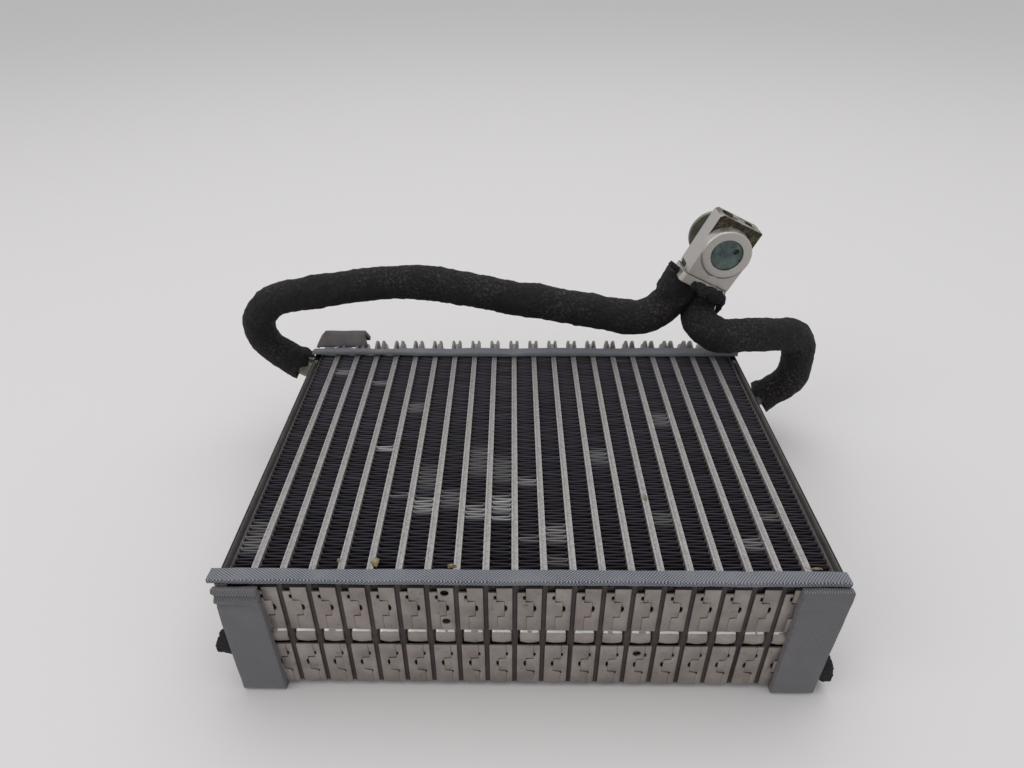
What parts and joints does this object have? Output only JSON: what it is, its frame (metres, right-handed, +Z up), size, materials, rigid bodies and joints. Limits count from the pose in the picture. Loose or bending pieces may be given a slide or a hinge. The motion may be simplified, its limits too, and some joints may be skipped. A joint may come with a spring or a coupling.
{
  "type": "plate-type air conditioning evaporator with expansion valve",
  "caption": "Flat finned evaporator core with stamped plate tubes, foam edge strips, two foam-covered pipes and a block expansion valve.",
  "frame": {"origin": "centre of the whole part's footprint, on the surface that it rests on", "axes": "+X across the tubes, towards the short pipe; +Y from the flange end towards the tanks; +Z up, along the air's way through the core"},
  "size_m": [0.3408, 0.2078, 0.1466],
  "materials": {
    "core_plate": "dull brazed sheet",
    "fin_sheet": "dark coated foil",
    "strip_foam": "foam with a blue-grey woven film",
    "pad_foam": "foam with a grey woven film",
    "block_foam": "charcoal foam",
    "pipe_metal": "satin drawn tube",
    "sleeve_foam": "black open-cell foam, worn",
    "valve_metal": "machined, weathered",
    "plug_metal": "blue-green zinc plating",
    "head_steel": "pressed, dull",
    "screw_steel": "plated",
    "seal_rubber": "moulded"
  },
  "bodies": {
    "root": {"tube_01": "core_plate", "tube_02": "core_plate", "tube_03": "core_plate", "tube_04": "core_plate", "tube_05": "core_plate", "tube_06": "core_plate", "tube_07": "core_plate", "tube_08": "core_plate", "tube_09": "core_plate", "tube_10": "core_plate", "tube_11": "core_plate", "tube_12": "core_plate", "tube_13": "core_plate", "tube_14": "core_plate", "tube_15": "core_plate", "tube_16": "core_plate", "tube_17": "core_plate", "tube_18": "core_plate", "tube_19": "core_plate", "tube_20": "core_plate", "fin_01": "fin_sheet", "fin_02": "fin_sheet", "fin_03": "fin_sheet", "fin_04": "fin_sheet", "fin_05": "fin_sheet", "fin_06": "fin_sheet", "fin_07": "fin_sheet", "fin_08": "fin_sheet", "fin_09": "fin_sheet", "fin_10": "fin_sheet", "fin_11": "fin_sheet", "fin_12": "fin_sheet", "fin_13": "fin_sheet", "fin_14": "fin_sheet", "fin_15": "fin_sheet", "fin_16": "fin_sheet", "fin_17": "fin_sheet", "fin_18": "fin_sheet", "fin_19": "fin_sheet", "fin_20": "fin_sheet", "fin_21": "fin_sheet", "side_plate_left": "core_plate", "side_plate_right": "core_plate", "front_top_strip": "strip_foam", "rear_top_strip": "strip_foam", "rear_bottom_strip": "strip_foam", "end_pad_left": "pad_foam", "end_pad_right": "pad_foam", "foam_block": "block_foam", "torn_foam": "block_foam", "suction_pipe": "pipe_metal", "liquid_pipe": "pipe_metal", "suction_sleeve": "sleeve_foam", "liquid_sleeve": "sleeve_foam", "valve_body": "valve_metal", "boss_plug": "plug_metal", "power_head": "head_steel", "pipe_flange": "valve_metal", "flange_screw": "screw_steel", "port_seals": "seal_rubber"}
  },
  "joints": []
}
